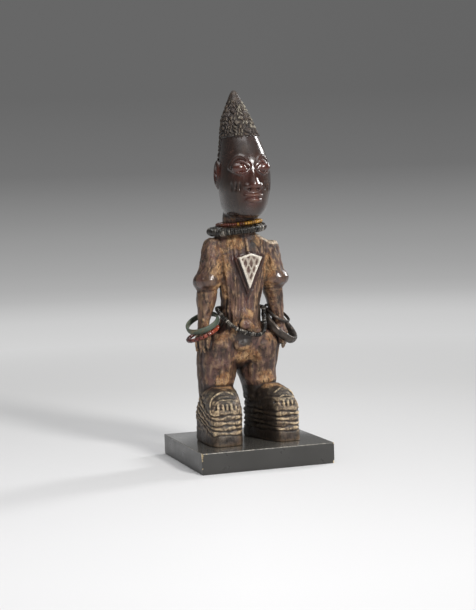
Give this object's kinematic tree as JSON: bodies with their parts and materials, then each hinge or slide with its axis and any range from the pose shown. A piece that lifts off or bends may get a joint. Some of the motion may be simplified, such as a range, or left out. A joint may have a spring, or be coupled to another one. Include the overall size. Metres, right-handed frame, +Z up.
{
  "type": "ibeji figure",
  "caption": "Carved wooden twin figure standing on a square display plinth, with bead strings at the neck, waist and wrist and metal bangles at both wrists.",
  "frame": {"origin": "centre of the plinth's underside", "axes": "+Z up, +X towards the figure's left, the figure faces -Y"},
  "size_m": [0.1, 0.1, 0.2732],
  "materials": {
    "figure_wood": "dark handled wood, waxy shine on the high places, camwood and ochre residue in the hollows",
    "plinth_paint": "satin black paint on wood, chipped at a corner",
    "shell_discs": "polished dark coconut shell",
    "seed_beads": "opaque ochre and red-brown seed beads",
    "red_glass": "opaque red glass, dusty",
    "green_bronze": "dull grey-green bronze",
    "dark_bronze": "dark worn bronze with bright rubbed edges"
  },
  "bodies": {
    "root": {"plinth": "plinth_paint", "figure": "figure_wood", "neck_disc_beads": "shell_discs", "neck_seed_beads": "seed_beads", "waist_disc_beads": "shell_discs", "right_wrist_red_beads": "red_glass", "right_wrist_bangle": "green_bronze", "left_wrist_heavy_bangle": "dark_bronze", "left_wrist_thin_bangle": "dark_bronze"}
  },
  "joints": []
}
